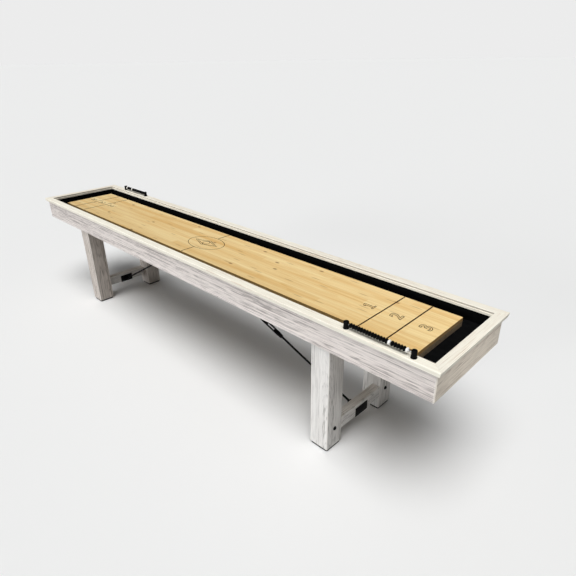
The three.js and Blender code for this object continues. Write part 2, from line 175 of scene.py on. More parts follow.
class Look:
    """A Principled material, with short ways to add and join its nodes."""

    SOCKETS = {
        "roughness": "Roughness",
        "metallic": "Metallic",
        "specular": "Specular IOR Level",
        "coat": "Coat Weight",
        "coat_roughness": "Coat Roughness",
    }

    def __init__(self, name, **values):
        self.material = bpy.data.materials.new(name)
        self.material.use_nodes = True
        self.tree = self.material.node_tree
        self.shader = self.tree.nodes["Principled BSDF"]
        for key, value in values.items():
            self.shader.inputs[self.SOCKETS[key]].default_value = value
        source = self.add("ShaderNodeTexCoord")
        self.coordinates = source.outputs["Object"]
        self.normal = source.outputs["Normal"]

    def add(self, kind, inputs=(), **settings):
        """Adds a node. Its inputs, by name or number, are other nodes' outputs or constants."""
        node = self.tree.nodes.new(kind)
        for key, value in settings.items():
            setattr(node, key, value)
        for key, value in dict(inputs).items():
            self.put(node.inputs[key], value)
        return node

    def put(self, socket, value):
        """Links a socket to another, or sets it to a constant."""
        if isinstance(value, bpy.types.NodeSocket):
            self.tree.links.new(value, socket)
        else:
            socket.default_value = (*value, 1) if socket.type == "RGBA" else value

    def parts(self, vector):
        """The X, Y and Z outputs of a vector."""
        return self.add("ShaderNodeSeparateXYZ", {0: vector}).outputs

    def stretched(self, scale, turn=(0, 0, 0), offset=(0, 0, 0)):
        """The object's coordinates, turned in degrees and moved first, and then scaled."""
        turn = [math.radians(a) for a in turn]
        values = {"Vector": self.coordinates, "Rotation": turn, "Location": offset}
        turned = self.add("ShaderNodeMapping", values).outputs[0]
        values = {0: turned, 1: scale}
        return self.add("ShaderNodeVectorMath", values, operation="MULTIPLY").outputs[0]

    def noise(self, vector, detail, roughness=0.5):
        values = {"Vector": vector, "Scale": 1, "Detail": detail, "Roughness": roughness}
        return self.add("ShaderNodeTexNoise", values).outputs["Fac"]

    def math(self, operation, *values, clamp=False):
        settings = {"operation": operation, "use_clamp": clamp}
        return self.add("ShaderNodeMath", enumerate(values), **settings).outputs[0]

    def times(self, a, b, clamp=False):
        return self.math("MULTIPLY", a, b, clamp=clamp)

    def spread(self, value, low, high, to_low=0.0, to_high=1.0):
        """The value mapped from one range to another and kept inside it."""
        values = {"Value": value, "From Min": low, "From Max": high}
        values.update({"To Min": to_low, "To Max": to_high})
        return self.add("ShaderNodeMapRange", values, interpolation_type="SMOOTHSTEP").outputs[0]

    def patches(self, scale, detail, low, high, roughness=0.5):
        """Noise at this scale, from 0 below the low value to 1 above the high one."""
        return self.spread(self.noise(self.stretched(scale), detail, roughness), low, high)

    def mix(self, share, a, b):
        """Colour a, with this share of it replaced by colour b."""
        return self.add("ShaderNodeMix", {0: share, 6: a, 7: b}, data_type="RGBA").outputs[2]

    def colour(self, value):
        self.put(self.shader.inputs["Base Color"], value)

    def rough(self, value):
        self.put(self.shader.inputs["Roughness"], value)

    def bump(self, height, strength, depth):
        values = {"Strength": strength, "Distance": depth, "Height": height}
        self.put(self.shader.inputs["Normal"], self.add("ShaderNodeBump", values).outputs[0])


def along(axis, lengthwise, crosswise):
    """A scale for coordinates, as marks per metre along the grain and across it."""
    return [lengthwise if i == axis else crosswise for i in range(3)]


def even(scale):
    """The same number of marks per metre in every direction."""
    return (scale, scale, scale)


def grain_turn(axis, angle):
    """A small turn of the growth rings against the board, so that they end in long arches."""
    return [0 if i == axis else angle for i in range(3)]


def wood_parts(look, axis, rings, ring_scale, tilt):
    """Growth rings, fibres and pores of wood with its grain along an axis, each from 0 to 1."""
    broad = look.noise(look.stretched(along(axis, *ring_scale), grain_turn(axis, tilt)), detail=1.2)
    waver = look.noise(look.stretched(along(axis, 2.6, 130)), detail=2)
    field = look.math("MULTIPLY_ADD", waver, 0.012, broad)
    saw = look.math("FRACT", look.times(field, rings))
    ring = look.times(look.spread(saw, 0.55, 0.9), look.spread(saw, 1, 0.93))
    fibre = look.patches(along(axis, 1.8, 170), 4, 0.4, 0.66, roughness=0.62)
    pore = look.patches(along(axis, 16, 700), 1, 0.6, 0.72)
    return ring, fibre, pore


def corner_face(look):
    """1 on faces that look out between two sides, such as a chamfer down an upright edge."""
    facing = look.parts(look.normal)
    both = look.times(facing["X"], facing["Y"])
    return look.spread(look.math("ABSOLUTE", both), 0.3, 0.45)


def under_face(look):
    """1 on faces that lean over, such as the undercut below a rail cap's lip."""
    return look.spread(look.parts(look.normal)["Z"], -0.28, -0.34)


def upright_face(look):
    """1 on upright faces and 0 on level ones."""
    return look.spread(look.math("ABSOLUTE", look.parts(look.normal)["Z"]), 0.75, 0.35)


STRAIGHT_GRAIN = {"rings": 66, "ring_scale": (0.3, 7), "tilt": 0.8}
ARCHED_GRAIN = {"rings": 74, "ring_scale": (0.45, 6), "tilt": 1.5}
RING_SHARE, FIBRE_SHARE, STREAK_SHARE, PORE_SHARE = 0.42, 0.5, 0.75, 0.25
# How much grain shows on the posts' eased edges, which look paler: partly wear, partly a painted
# highlight.
EDGE_HIGHLIGHT_AND_WEAR = 0.45
DULLER = (0.965, 0.95, 0.945)
# The cream that chamfers down upright edges are lightened towards: partly paint rubbed thin, partly
# a painted highlight.
CORNER_HIGHLIGHT_AND_WEAR = (0.93, 0.89, 0.83)
SHADED_WOOD = (0.31, 0.29, 0.28)


def whitewash(name, axis, grain, contrast, paint, edge=False):
    """Limed wood: white paint rubbed into open grain, so that the grain shows as grey streaks."""
    look = Look(name, roughness=0.62, specular=0.32)
    ring, fibre, pore = wood_parts(look, axis, **grain)
    patch = look.patches(along(axis, 1.3, 8), 3, 0.33, 0.68)
    streak = look.patches(along(axis, 1.8, 165), 3, 0.565, 0.63, roughness=0.58)
    breaks = look.noise(look.stretched(along(axis, 13, 90)), detail=2)
    breaks = look.spread(breaks, 0.36, 0.64, 0.5, 1.4)
    corner = corner_face(look)

    amount = look.times(ring, RING_SHARE * contrast)
    for layer, share in ((fibre, FIBRE_SHARE), (streak, STREAK_SHARE), (pore, PORE_SHARE)):
        amount = look.math("MULTIPLY_ADD", layer, share * contrast, amount)
    amount = look.times(amount, breaks)
    amount = look.times(amount, look.spread(patch, 0, 1, 0.68, 1.22), clamp=True)
    # Chamfers down upright edges show less grey grain: partly paint rubbed thin there, partly a
    # painted highlight.
    amount = look.times(amount, look.spread(corner, 0, 1, 1, 0.35))
    # Eased edges with their own material show less grain: partly paint rubbed thin, partly a
    # painted highlight.
    if edge:
        amount = look.times(amount, EDGE_HIGHLIGHT_AND_WEAR)

    pale, grey = paint
    duller = [c * f for c, f in zip(pale, DULLER)]
    tone = look.mix(look.times(patch, 0.5), pale, duller)
    # The chamfers are lightened towards cream: partly wear, partly a painted highlight.
    tone = look.mix(look.times(corner, 0.6), tone, CORNER_HIGHLIGHT_AND_WEAR)
    tone = look.mix(amount, tone, grey)
    # Faces that lean over, such as the undercut below a cap's lip, are darkened towards grey:
    # painted shade.
    look.colour(look.mix(look.times(under_face(look), 0.7), tone, SHADED_WOOD))
    look.rough(look.spread(amount, 0, 1, 0.56, 0.78))
    look.bump(look.math("SUBTRACT", 1.0, amount), 0.35, 0.6 * MM)
    return look.material


STRIP_WIDTH = 49.25 * MM
BOARDS_PER_METRE = 0.8
# Each strip's boards start this share of a board further on than the last strip's.
BOARD_STEP = 0.618
MAPLE_LIGHT = (0.99, 0.78, 0.41)
MAPLE_WARM = (0.80, 0.50, 0.18)
MAPLE_BROWN = (0.50, 0.28, 0.09)
MAPLE_FLECK = (0.30, 0.15, 0.055)
MAPLE_SIDE_SHADE = (0.42, 0.25, 0.085)
MAPLE_END_GRAIN_AND_SHADE = (0.30, 0.175, 0.065)
KNOTS = {"spacing": (2.1, 4.2, 1), "core": 0.014, "rim": 0.045, "strength": 0.85}
FLECKS = {"spacing": (2.2, 19, 1), "core": 0.03, "rim": 0.1, "strength": 0.45}


def add_marks(look, colour, spacing, core, rim, strength):
    """Scatters small dark marks over a colour, each fading out from its core to its rim."""
    values = {"Vector": look.stretched(spacing, offset=(0.37, 0.11, 0)), "Scale": 1}
    marks = look.add("ShaderNodeTexVoronoi", values, feature="F1", voronoi_dimensions="2D")
    spot = look.spread(marks.outputs["Distance"], rim, core)
    return look.mix(look.times(spot, strength), colour, MAPLE_FLECK)


def maple(name):
    """Laminated maple strips under a clear coat, darker on the sides and at the end grain."""
    look = Look(name, roughness=0.32, specular=0.25, coat=0.06, coat_roughness=0.15)
    place = look.parts(look.coordinates)
    lane = look.times(place["Y"], 1 / STRIP_WIDTH)
    strip = look.math("FLOOR", lane)
    shift = look.math("FRACT", look.times(strip, BOARD_STEP))
    run = look.math("MULTIPLY_ADD", place["X"], BOARDS_PER_METRE, shift)
    key = look.add("ShaderNodeCombineXYZ", {0: strip, 1: look.math("FLOOR", run)}).outputs[0]
    tone = look.add("ShaderNodeTexWhiteNoise", {"Vector": key}, noise_dimensions="2D")
    joint = look.spread(look.math("PINGPONG", lane, 0.5), 0.03, 0.0)
    ring, fibre, pore = wood_parts(look, 0, rings=12, ring_scale=(0.45, 9), tilt=1.5)
    cloud = look.patches((1.1, 26, 7), 3, 0.34, 0.68)

    amount = look.times(tone.outputs["Value"], 0.55)
    amount = look.math("MULTIPLY_ADD", ring, 0.15, amount)
    amount = look.math("MULTIPLY_ADD", cloud, 0.5, amount)
    amount = look.math("SUBTRACT", amount, 0.13, clamp=True)
    colour = look.mix(amount, MAPLE_LIGHT, MAPLE_WARM)
    for layer, share in ((fibre, 0.19), (pore, 0.2), (joint, 0.3)):
        colour = look.mix(look.times(layer, share), colour, MAPLE_BROWN)
    colour = add_marks(look, colour, **KNOTS)
    colour = add_marks(look, colour, **FLECKS)

    # The upright sides are darkened as painted shade. The end grain is darker still: partly end
    # grain taking up the finish, partly painted shade.
    end = look.spread(look.math("ABSOLUTE", look.parts(look.normal)["X"]), 0.6, 0.8)
    colour = look.mix(look.times(upright_face(look), 0.75), colour, MAPLE_SIDE_SHADE)
    colour = look.mix(look.times(end, 0.8), colour, MAPLE_END_GRAIN_AND_SHADE)
    look.colour(colour)
    look.bump(look.math("SUBTRACT", 1.0, fibre), 0.05, 0.2 * MM)
    return look.material


def board(name, pale, dark, layer):
    """Raw laminated board: faces with grain along X, and edges that show its layers."""
    look = Look(name, roughness=0.8, specular=0.25)
    ring, fibre, pore = wood_parts(look, 0, rings=8, ring_scale=(0.6, 8), tilt=2)
    depth = look.times(look.parts(look.coordinates)["Z"], 1 / layer)
    layers = look.times(look.math("PINGPONG", depth, 0.5), upright_face(look))
    amount = look.math("ADD", look.times(ring, 0.3), look.times(fibre, 0.45))
    amount = look.math("ADD", amount, look.times(layers, 1.1), clamp=True)
    look.colour(look.mix(amount, pale, dark))
    look.bump(look.math("ADD", fibre, pore), 0.2, 0.4 * MM)
    return look.material


CARPET_DARK, CARPET_NAP = (0.0022, 0.0024, 0.0027), (0.0045, 0.0047, 0.005)
CARPET_TUFT = (0.009, 0.0092, 0.0095)


def carpet(name):
    """Short looped pile, with brushed patches and lighter tips."""
    look = Look(name, roughness=1, specular=0.03)
    pile = look.noise(look.stretched(even(900)), detail=2, roughness=0.7)
    brushed = look.mix(look.patches((24, 60, 60), 3, 0.35, 0.7), CARPET_DARK, CARPET_NAP)
    tuft = look.times(look.spread(pile, 0.3, 0.75), 0.4)
    look.colour(look.mix(tuft, brushed, CARPET_TUFT))
    look.bump(pile, 0.8, 1.2 * MM)
    return look.material


def painted_steel(name, fresh, rubbed):
    """Powder coat with its orange-peel surface and rubbed patches."""
    look = Look(name, roughness=0.45, specular=0.08)
    peel = look.noise(look.stretched(even(520)), detail=1)
    rub = look.patches(even(38), 5, 0.5, 0.75, roughness=0.7)
    look.colour(look.mix(rub, fresh, rubbed))
    look.rough(look.spread(rub, 0, 1, 0.42, 0.62))
    look.bump(peel, 0.25, 0.15 * MM)
    return look.material


def plated_steel(name, clean, tarnished):
    """Bright drawn steel with fine lengthwise lines and a little tarnish."""
    look = Look(name, roughness=0.25, metallic=1)
    lines = look.noise(look.stretched((14, 1600, 1600)), detail=2)
    tarnish = look.patches(even(60), 4, 0.45, 0.75)
    look.colour(look.mix(tarnish, clean, tarnished))
    look.rough(look.spread(lines, 0.3, 0.7, 0.2, 0.38))
    look.bump(lines, 0.08, 0.05 * MM)
    return look.material


def plastic(name, colour, smudge, roughness, specular):
    """Moulded plastic with a faint flow texture and handling marks."""
    look = Look(name, roughness=roughness, specular=specular)
    flow = look.noise(look.stretched(even(210)), detail=2)
    marks = look.patches((70, 95, 95), 4, 0.45, 0.75, roughness=0.65)
    look.colour(look.mix(look.times(marks, 0.6), colour, smudge))
    look.rough(look.spread(marks, 0, 1, roughness - 0.04, roughness + 0.14))
    look.bump(flow, 0.08, 0.1 * MM)
    return look.material


def ink(name, full, thin):
    """Screen-printed ink under the playfield's finish, thin in places."""
    look = Look(name, roughness=0.8, specular=0.05)
    worn = look.patches(even(90), 4, 0.42, 0.8, roughness=0.7)
    look.colour(look.mix(look.times(worn, 0.5), full, thin))
    look.bump(worn, 0.1, 0.05 * MM)
    return look.material


# The paint's colour, and the grey that shows through it in the grain.
APRON = ((0.85, 0.785, 0.745), (0.38, 0.34, 0.325))
# The end boards carry a paler, warmer copy of the apron's paint: painted light.
LIT_END_BOARD = ((0.90, 0.815, 0.70), (0.50, 0.43, 0.36))
WHITE_BOARD = ((0.86, 0.84, 0.81), (0.40, 0.38, 0.36))
# The left posts carry a darker, browner copy of the right posts' paint: painted shade.
SHADED_LEFT_POST_PAINT = ((0.68, 0.62, 0.57), (0.27, 0.235, 0.20))
CAP = ((0.93, 0.895, 0.79), (0.70, 0.60, 0.48))
# The front cap carries a paler copy of the other caps' paint: painted light.
LIT_FRONT_CAP = ((0.99, 0.955, 0.835), (0.70, 0.60, 0.48))
ALONG_X, ALONG_Y, ALONG_Z = 0, 1, 2

# Each is the name, the grain's direction and kind, how strongly it shows, and the paint.
PAINTED = {
    "apron_x": ("apron_long_grain", ALONG_X, STRAIGHT_GRAIN, 1.25, APRON),
    "apron_y": ("apron_end_board", ALONG_Y, STRAIGHT_GRAIN, 0.8, LIT_END_BOARD),
    "front_cap": ("front_cap_grain", ALONG_X, STRAIGHT_GRAIN, 0.5, LIT_FRONT_CAP),
    "rear_cap": ("rear_cap_grain", ALONG_X, STRAIGHT_GRAIN, 0.6, CAP),
    "end_cap": ("end_cap_grain", ALONG_Y, STRAIGHT_GRAIN, 0.6, CAP),
    "beam": ("trestle_cross_grain", ALONG_Y, STRAIGHT_GRAIN, 0.95, WHITE_BOARD),
    "right_post": ("right_upright_grain", ALONG_Z, ARCHED_GRAIN, 0.64, WHITE_BOARD),
    "right_edge": ("right_rubbed_edge", ALONG_Z, ARCHED_GRAIN, 0.5, WHITE_BOARD, True),
    "left_post": ("left_upright_grain", ALONG_Z, ARCHED_GRAIN, 0.8, SHADED_LEFT_POST_PAINT),
    "left_edge": ("left_rubbed_edge", ALONG_Z, ARCHED_GRAIN, 0.5, SHADED_LEFT_POST_PAINT, True),
}
LOOKS = {
    **{look: whitewash(*row) for look, row in PAINTED.items()},
    "maple": maple("laminated_maple"),
    "backing": board("backing_board", (0.36, 0.28, 0.19), (0.17, 0.125, 0.08), 4 * MM),
    "plywood": board("raw_plywood", (0.62, 0.50, 0.36), (0.40, 0.29, 0.19), 2.4 * MM),
    "carpet": carpet("black_carpet"),
    "steel": painted_steel("black_powder_coat", (0.003, 0.003, 0.0034), (0.010, 0.0097, 0.0093)),
    "bright": plated_steel("bright_steel", (0.62, 0.63, 0.65), (0.42, 0.41, 0.39)),
    "black": plastic("black_plastic", (0.0015, 0.0015, 0.0018), (0.004, 0.004, 0.004), 0.5, 0.07),
    "white": plastic("white_plastic", (0.90, 0.89, 0.86), (0.72, 0.70, 0.65), 0.3, 0.4),
    "foot": plastic("foot_plastic", (0.012, 0.012, 0.012), (0.03, 0.029, 0.027), 0.6, 0.3),
    "ink": ink("playfield_ink", (0.026, 0.011, 0.004), (0.09, 0.045, 0.018)),
}


# ---- the CAD nodes that stay ----

BOARD_EASE = 0.9 * MM
BEAM_EASE = 1.0 * MM
POST_EASE = 1.6 * MM
STIFFENER_EASE = 1.5 * MM
CARPET_EASE = 0.6 * MM
SLAB_EASE = 0.7 * MM
PANEL_EASE = 0.5 * MM
WELD_GAP = 0.02 * MM
EASED_ANGLE = 25


def finish_node(name, look, ease, edge_look=None, segments=3):
    """Gives a CAD node its material and eases its edges, which may have a material of their own."""
    obj = nodes[name]
    slots = obj.data.materials
    slots.clear()
    slots.append(LOOKS[look])
    weld = obj.modifiers.new("weld", "WELD")
    weld.merge_threshold = WELD_GAP
    bevel = obj.modifiers.new("eased_edges", "BEVEL")
    bevel.width = ease
    bevel.segments = segments
    bevel.limit_method = "ANGLE"
    bevel.angle_limit = math.radians(EASED_ANGLE)
    bevel.use_clamp_overlap = True
    if edge_look:
        slots.append(LOOKS[edge_look])
        bevel.material = 1


def finish_cabinet():
    for side in SIDES:
        long_side = side in ("front", "rear")
        finish_node(f"{side}_rail_cap", f"{side}_cap" if long_side else "end_cap", BOARD_EASE)
        finish_node(f"{side}_apron", "apron_x" if long_side else "apron_y", BOARD_EASE)
        finish_node(f"{side}_gutter_lining", "carpet", CARPET_EASE, segments=2)
    finish_node("playfield_slab", "maple", SLAB_EASE)
    finish_node("playfield_backing", "backing", SLAB_EASE)
    finish_node("deck_panel", "plywood", PANEL_EASE)
    finish_node("centre_stiffener", "plywood", STIFFENER_EASE)


def finish_trestles():
    for end in ENDS:
        for side in ("front", "rear"):
            finish_node(f"{end}_{side}_post", f"{end}_post", POST_EASE, edge_look=f"{end}_edge")
        finish_node(f"{end}_stretcher", "beam", BEAM_EASE)
        finish_node(f"{end}_top_beam", "beam", BEAM_EASE)


# ---- mesh helpers: a shape is a pair of lists, its vertices and its faces ----

def revolved(profile, segments, closed=False):
    """A solid turned about Z from points (radius, z), or (radius, z, 6) for a hexagonal ring."""
    verts, rows = [], []
    for radius, z, *sides in profile:
        if radius == 0:
            rows.append([len(verts)] * segments)
            verts.append(Vector((0, 0, z)))
            continue
        row = []
        for i in range(segments):
            angle = 2 * math.pi * i / segments
            reach = radius
            if sides:
                half = math.pi / sides[0]
                reach = radius * math.cos(half) / math.cos(angle % (2 * half) - half)
            row.append(len(verts))
            verts.append(Vector((reach * math.cos(angle), reach * math.sin(angle), z)))
        rows.append(row)
    pairs = list(zip(rows, rows[1:])) + ([(rows[-1], rows[0])] if closed else [])
    faces = []
    for low, high in pairs:
        for i in range(segments):
            j = (i + 1) % segments
            face = list(dict.fromkeys((low[i], low[j], high[j], high[i])))
            if len(face) > 2:
                faces.append(face)
    return verts, faces


def threaded(radius, depth, pitch, length):
    """A screw thread along +Z from 0, whose crest winds round it in a true helix."""
    segments, steps = 20, 6
    rows = max(2, round(length / pitch * steps))
    verts, faces = [Vector((0, 0, 0))], []
    for row in range(rows + 1):
        z = length * row / rows
        for i in range(segments):
            turn = i / segments
            phase = (z / pitch - turn) % 1
            fade = min(1, row / steps, (rows - row) / steps)
            reach = radius - depth * fade * abs(2 * phase - 1)
            angle = 2 * math.pi * turn
            verts.append(Vector((reach * math.cos(angle), reach * math.sin(angle), z)))
    verts.append(Vector((0, 0, length)))
    for i in range(segments):
        j = (i + 1) % segments
        faces.append((0, 1 + j, 1 + i))
        for row in range(rows):
            a, b = 1 + row * segments, 1 + (row + 1) * segments
            faces.append((a + i, a + j, b + j, b + i))
        top = 1 + rows * segments
        faces.append((len(verts) - 1, top + i, top + j))
    return verts, faces


def plate(loops, thickness, ease):
    """A flat plate up from z 0, with eased edges: one XY loop for its outline, then its holes."""
    mesh = bmesh.new()
    edges = []
    for loop in loops:
        row = [mesh.verts.new((x, y, 0)) for x, y in loop]
        edges += [mesh.edges.new((row[i], row[(i + 1) % len(row)])) for i in range(len(row))]
    bmesh.ops.triangle_fill(mesh, edges=edges, use_beauty=True)
    grown = bmesh.ops.extrude_face_region(mesh, geom=mesh.faces[:])
    moved = [v for v in grown["geom"] if isinstance(v, bmesh.types.BMVert)]
    bmesh.ops.translate(mesh, verts=moved, vec=(0, 0, thickness))
    bmesh.ops.recalc_face_normals(mesh, faces=mesh.faces[:])
    joined = (e for e in mesh.edges if len(e.link_faces) == 2)
    rim = [e for e in joined if e.calc_face_angle() > math.radians(60)]
    bmesh.ops.bevel(mesh, geom=rim, offset=ease, segments=2, affect="EDGES", profile=0.5)
    mesh.verts.index_update()
    shape = [v.co.copy() for v in mesh.verts], [[v.index for v in f.verts] for f in mesh.faces]
    mesh.free()
    return shape


def arc(x, y, radius, start, end, count):
    """Points along an arc, with its angles in degrees."""
    angles = [math.radians(start + (end - start) * i / count) for i in range(count + 1)]
    return [(x + radius * math.cos(a), y + radius * math.sin(a)) for a in angles]


def mirrored(points):
    return [(-x, y) for x, y in reversed(points)]


def ring_points(radius, count):
    return arc(0, 0, radius, 0, 360, count)[:-1]


def rounded_rectangle(half_x, half_y, corner):
    """An outline centred on the origin, from its half sides and the radius of its corners."""
    outline = []
    for x, y, start in ((1, 1, 0), (-1, 1, 90), (-1, -1, 180), (1, -1, 270)):
        outline += arc(x * (half_x - corner), y * (half_y - corner), corner, start, start + 90, 6)
    return outline


def placed(shape, matrix):
    return [matrix @ v for v in shape[0]], shape[1]


def moved(shape, x=0.0, y=0.0, z=0.0):
    return placed(shape, Matrix.Translation((x, y, z)))


def turned(shape, degrees, axis):
    return placed(shape, Matrix.Rotation(math.radians(degrees), 4, axis))


def on_x(shape):
    """Turns a shape made about Z so that it lies along X."""
    return turned(shape, 90, "Y")


def on_y(shape):
    """Turns a shape made about Z so that it lies along Y."""
    return turned(shape, -90, "X")


def merged(*shapes):
    verts, faces = [], []
    for shape in shapes:
        start = len(verts)
        verts += shape[0]
        faces += [[start + i for i in face] for face in shape[1]]
    return verts, faces


def new_mesh(name, shape):
    mesh = bpy.data.meshes.new(name)
    mesh.from_pydata([tuple(v) for v in shape[0]], [], shape[1])
    return mesh


def piece(name, shape, look, slot, replaces=None, body="table", place=Matrix.Identity(4), sharp=40):
    """Makes a mesh piece that rides on a body, and hides the CAD node it stands for, if any."""
    mesh = new_mesh(name, placed(shape, place))
    tidy = bmesh.new()
    tidy.from_mesh(mesh)
    bmesh.ops.recalc_face_normals(tidy, faces=tidy.faces[:])
    tidy.to_mesh(mesh)
    tidy.free()
    mesh.shade_smooth()
    mesh.set_sharp_from_angle(angle=math.radians(sharp))
    mesh.materials.append(LOOKS[look])
    obj = add_object(name, mesh)
    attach(obj, body)
    if replaces:
        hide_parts(replaces)


def fused(shape, voxel):
    """The same shape as one skin with soft inner corners, as a forging or a weld has."""
    mesh = new_mesh("fusing", shape)
    obj = add_object("fusing", mesh)
    remesh = obj.modifiers.new("remesh", "REMESH")
    remesh.mode = "VOXEL"
    remesh.voxel_size = voxel
    smooth = obj.modifiers.new("smooth", "SMOOTH")
    smooth.iterations = 3
    smooth.factor = 0.5
    result = obj.evaluated_get(bpy.context.evaluated_depsgraph_get()).to_mesh()
    made = [v.co.copy() for v in result.vertices], [list(f.vertices) for f in result.polygons]
    bpy.data.objects.remove(obj)
    bpy.data.meshes.remove(mesh)
    return made


def centre(node):
    low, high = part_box(node)
    return (low + high) / 2


def size(node):
    low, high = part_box(node)
    return high - low


def under(node):
    """A frame at the middle of a node's underside."""
    middle = centre(node)
    middle.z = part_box(node)[0].z
    return Matrix.Translation(middle)


# ---- braces ----

ROD_RADIUS = 6 * MM
THREAD = {"depth": 0.9 * MM, "pitch": 1.75 * MM, "length": 62 * MM}
ROD_TIP_GAP = 50 * MM
EYE_RADIUS = 13 * MM
EYE_THICKNESS = 13 * MM
EYE_HOLE = 6.4 * MM
NECK_LENGTH = 34 * MM
NECK_RADIUS = 7.5 * MM
EAR_THICKNESS = 4 * MM
EAR_RADIUS = 14 * MM
EAR_CLEARANCE = 0.6 * MM
PIN_RADIUS = 5.5 * MM
PIN_HEAD_RADIUS = 9 * MM
PIN_HEAD_HEIGHT = 5 * MM
EAR_OUTSIDE = EYE_THICKNESS / 2 + EAR_CLEARANCE + EAR_THICKNESS
WELD_RADIUS = 1.8 * MM
WELD_LENGTH = 2 * EAR_RADIUS - 4 * MM
WELD_OFFSET = EAR_OUTSIDE + 0.8 * MM
WELD_ALONG = 0.86
TURNBUCKLE = {
    "length": 176 * MM,
    "width": 32 * MM,
    "boss": 24 * MM,
    "boss_radius": 11 * MM,
    "rail": 4.9 * MM,
}
SADDLE_STEEL = 3.5 * MM
SADDLE_GAP = 0.3 * MM
SADDLE_BEND = 3.2 * MM
SADDLE_INNER_BEND = 0.8 * MM
SADDLE_WIDTH = 102 * MM
BRACKET_HALF_LENGTH = 45 * MM
BRACKET_HALF_WIDTH = 28 * MM
BRACKET_THICKNESS = 4 * MM
BRACKET_CORNER = 8 * MM
SCREW_INSET = 11 * MM
SCREW_HOLE = 3 * MM
SCREW_HEAD_DEPTH = 2.4 * MM
# The points of a screw head with a hexagon drive, in millimetres up from the drive's rim.
SCREW_HEAD = ((0, 1.2), (1.6, 1.2, 6), (1.9, 0, 6), (4.4, 0.2), (5.2, 1.6), (5.2, 2.6), (0, 2.6))


class Brace:
    """The line of one brace, from its foot pin up to its head pin."""

    def __init__(self, end):
        self.foot = centre(f"{end}_brace_foot_bolt")
        self.head = centre(f"{end}_brace_head_bolt")
        self.middle = (centre(f"{end}_turnbuckle") - self.foot).length
        self.run = self.head - self.foot
        self.yaw = math.atan2(self.run.y, self.run.x)
        self.pitch = math.atan2(self.run.z, math.hypot(self.run.x, self.run.y))

    def across(self, place):
        """A frame at a pin, with X level below the brace and Y along the pin."""
        return Matrix.Translation(place) @ Matrix.Rotation(self.yaw, 4, "Z")

    def line(self):
        """A frame at the foot pin with X up along the brace and Y along the pin."""
        return self.across(self.foot) @ Matrix.Rotation(-self.pitch, 4, "Y")

    def back_line(self):
        """The same at the head pin, with X down along the brace."""
        return self.across(self.head) @ Matrix.Rotation(math.pi - self.pitch, 4, "Y")


def eyed_rod(length):
    """A rod along +X with a forged eye about Y at the origin and a thread at its far end."""
    half = EYE_THICKNESS / 2
    soft, lip = 2.5 * MM, 1 * MM
    corner = ((0, 1), (0.3, 0.3), (1, 0))
    upper = [(EYE_RADIUS - soft * inward, half - soft * down) for inward, down in corner]
    upper += [(EYE_HOLE + lip, half), (EYE_HOLE, half - lip)]
    lower = [(radius, -z) for radius, z in reversed(upper)]
    eye = revolved(lower + upper, segments=40, closed=True)
    start, shoulder = EYE_HOLE + 2 * MM, EYE_RADIUS + 4 * MM
    neck = [(0, start), (NECK_RADIUS, start), (NECK_RADIUS - 0.5 * MM, shoulder)]
    neck += [(ROD_RADIUS, NECK_LENGTH), (0, NECK_LENGTH)]
    forging = fused(merged(on_y(eye), on_x(revolved(neck, segments=24))), 0.8 * MM)
    plain = length - THREAD["length"]
    root, radius = NECK_LENGTH - 6 * MM, ROD_RADIUS - 0.05 * MM
    shaft = revolved([(0, root), (radius, root), (radius, plain), (0, plain)], segments=24)
    thread = threaded(ROD_RADIUS - 0.1 * MM, **THREAD)
    return merged(forging, on_x(shaft), on_x(moved(thread, z=plain - 1 * MM)))


def turnbuckle_body(length, width, boss, boss_radius, rail):
    """An open forged body along X: two rails joined to a bored boss at each end."""
    bore, half, ease = ROD_RADIUS + 0.8 * MM, boss / 2, 1.5 * MM
    profile = [(bore, -half), (boss_radius - ease, -half), (boss_radius, -half + ease)]
    profile += [(boss_radius, half - 2 * ease), (boss_radius - 2 * MM, half), (bore, half)]
    turned_boss = on_x(revolved(profile, segments=36, closed=True))
    shoulder = (length - boss) / 2
    shapes = [moved(turned_boss, -shoulder), moved(turned(turned_boss, 180, "Y"), shoulder)]
    # Each rail is straight in the middle and curves in to the bosses at its ends.
    offset, curve_from, inward, count = width / 2 - rail, 0.66, 4.2 * MM, 24
    for side in (-1, 1):
        path = []
        for i in range(count + 1):
            t = 2 * i / count - 1
            pull = max(0.0, (abs(t) - curve_from) / (1 - curve_from))
            from_axis = offset - inward * pull * pull
            path.append(Vector((t * (length / 2 - 5 * MM), 0, side * from_axis)))
        shapes.append(tube(path, rail, 14, flatten=0.92))
    return fused(merged(*shapes), 0.9 * MM)


def tube(path, radius, segments, flatten):
    """A closed bar along a path that stays in the XZ plane, flattened across it."""
    verts, faces = [path[0]], []
    for i, point in enumerate(path):
        ahead, behind = path[min(i + 1, len(path) - 1)], path[max(i - 1, 0)]
        normal = (ahead - behind).normalized().cross(Vector((0, 1, 0)))
        for k in range(segments):
            angle = 2 * math.pi * k / segments
            outward = normal * radius * flatten * math.cos(angle)
            verts.append(point + outward + Vector((0, radius * math.sin(angle), 0)))
    verts.append(path[-1])
    last = 1 + (len(path) - 1) * segments
    for k in range(segments):
        j = (k + 1) % segments
        faces += [(0, 1 + j, 1 + k), (len(verts) - 1, last + k, last + j)]
        for i in range(len(path) - 1):
            a, b = 1 + i * segments, 1 + (i + 1) * segments
            faces.append((a + k, a + j, b + j, b + k))
    return verts, faces


def ear_pair(reach):
    """Two ears about a pin on Y. Each is round at the pin and runs back along -X."""
    outline = arc(0, 0, EAR_RADIUS, -90, 90, 16) + [(-reach, EAR_RADIUS), (-reach, -EAR_RADIUS)]
    ear = plate([outline, ring_points(PIN_RADIUS + 0.3 * MM, 24)], EAR_THICKNESS, 0.6 * MM)
    upright = turned(ear, 90, "X")
    return merged(moved(upright, y=EAR_OUTSIDE), moved(upright, y=EAR_THICKNESS - EAR_OUTSIDE))


